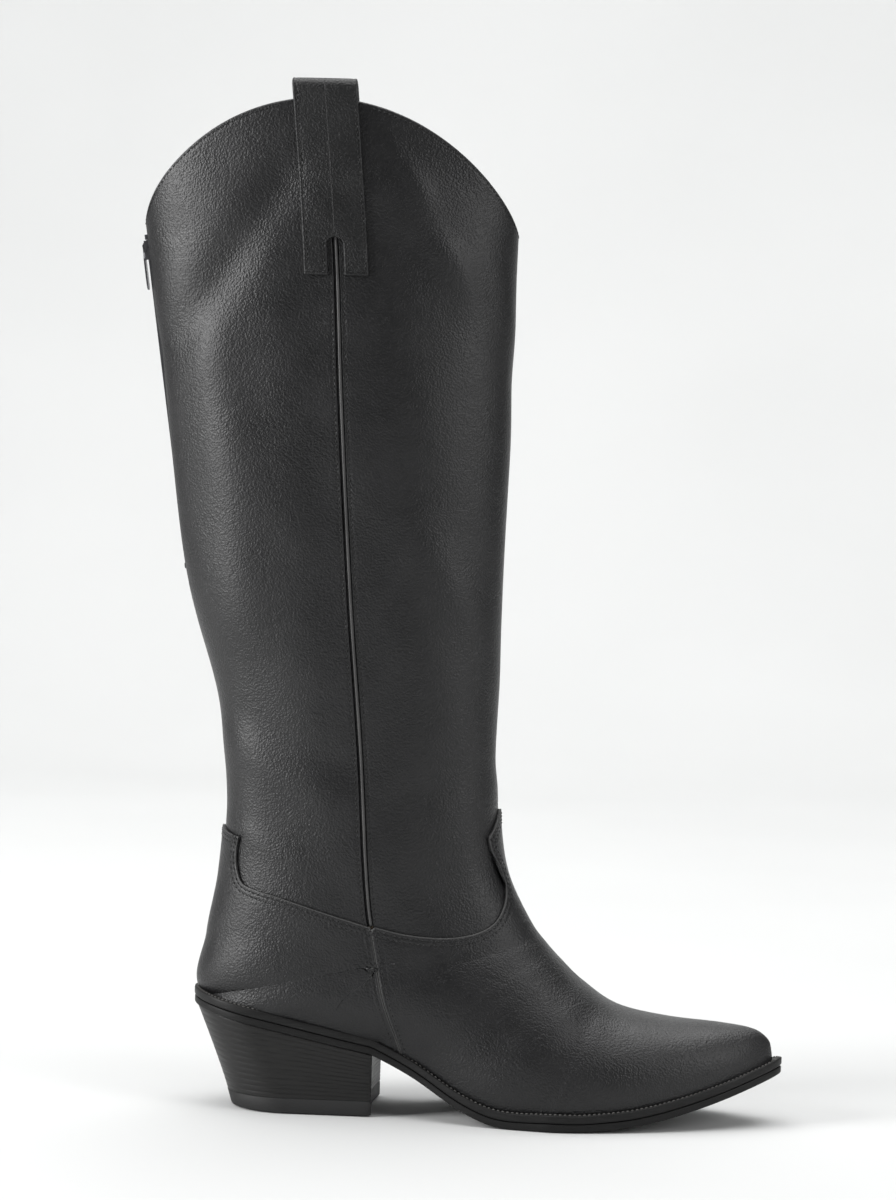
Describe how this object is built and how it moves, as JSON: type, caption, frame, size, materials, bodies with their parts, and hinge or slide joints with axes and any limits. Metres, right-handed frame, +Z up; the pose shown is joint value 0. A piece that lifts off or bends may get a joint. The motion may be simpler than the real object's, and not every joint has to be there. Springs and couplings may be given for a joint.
{
  "type": "cowboy boot",
  "caption": "Knee-high black leather western boot with a domed topline, side pull straps, a short back zip, a welted sole and a stacked block heel.",
  "frame": {"origin": "centre of the flat face of the heel's top lift, which stands on the ground", "axes": "+X towards the toe, -Y towards the outer side of the foot, +Z up"},
  "size_m": [0.3183, 0.0915, 0.49],
  "materials": {
    "leather": "satin black grained leather",
    "strap_leather": "satin black leather",
    "lining": "matte tan leather lining",
    "board": "matte fibre board",
    "cork": "matte granulated cork",
    "sole": "matte blackened leather sole",
    "rubber": "matte black rubber",
    "stack": "satin black stacked leather",
    "plastic": "matte moulded plastic",
    "steel": "bright steel",
    "dark_metal": "blackened metal",
    "tape": "matte black woven tape",
    "foam": "soft latex foam"
  },
  "bodies": {
    "boot": {"vamp": "leather", "counter_cover": "leather", "shaft_front_panel": "leather", "shaft_back_outer_panel": "leather", "shaft_back_inner_panel": "leather", "pull_strap_outer": "strap_leather", "pull_strap_inner": "strap_leather", "side_seam_piping_outer": "strap_leather", "side_seam_piping_inner": "strap_leather", "shaft_lining_front": "lining", "shaft_lining_back_outer": "lining", "shaft_lining_back_inner": "lining", "vamp_lining": "lining", "heel_lining": "lining", "sock_liner": "lining", "counter_stiffener": "board", "toe_puff": "board", "insole_board": "board", "heel_seat_board": "board", "vamp_doubler": "tape", "forefoot_filler": "cork", "outsole": "sole", "welt": "sole", "heel_top_lift": "rubber", "heel_wrap": "stack", "heel_core": "plastic", "heel_pad": "foam", "steel_shank": "steel", "heel_screw": "steel", "heel_nail_1": "steel", "heel_nail_2": "steel", "heel_nail_3": "steel", "heel_nail_4": "steel", "heel_nail_5": "steel", "zip_teeth_outer": "dark_metal", "zip_teeth_inner": "dark_metal", "zip_top_stop_outer": "dark_metal", "zip_top_stop_inner": "dark_metal", "zip_bottom_stop": "dark_metal", "zip_tape_outer": "tape", "zip_tape_inner": "tape"},
    "slider": {"zip_slider": "dark_metal"},
    "puller": {"zip_puller": "dark_metal"}
  },
  "joints": [
    {"name": "zip_travel", "type": "slide", "parent": "boot", "child": "slider", "axis": [-0.1454, 0, 0.9894], "range_m": [-0.145, 0]},
    {"name": "puller_swing", "type": "hinge", "parent": "slider", "child": "puller", "pos_m": [-0.09019, 0, 0.41119], "axis": [0, 1, 0], "range_deg": [0, 140]}
  ]
}
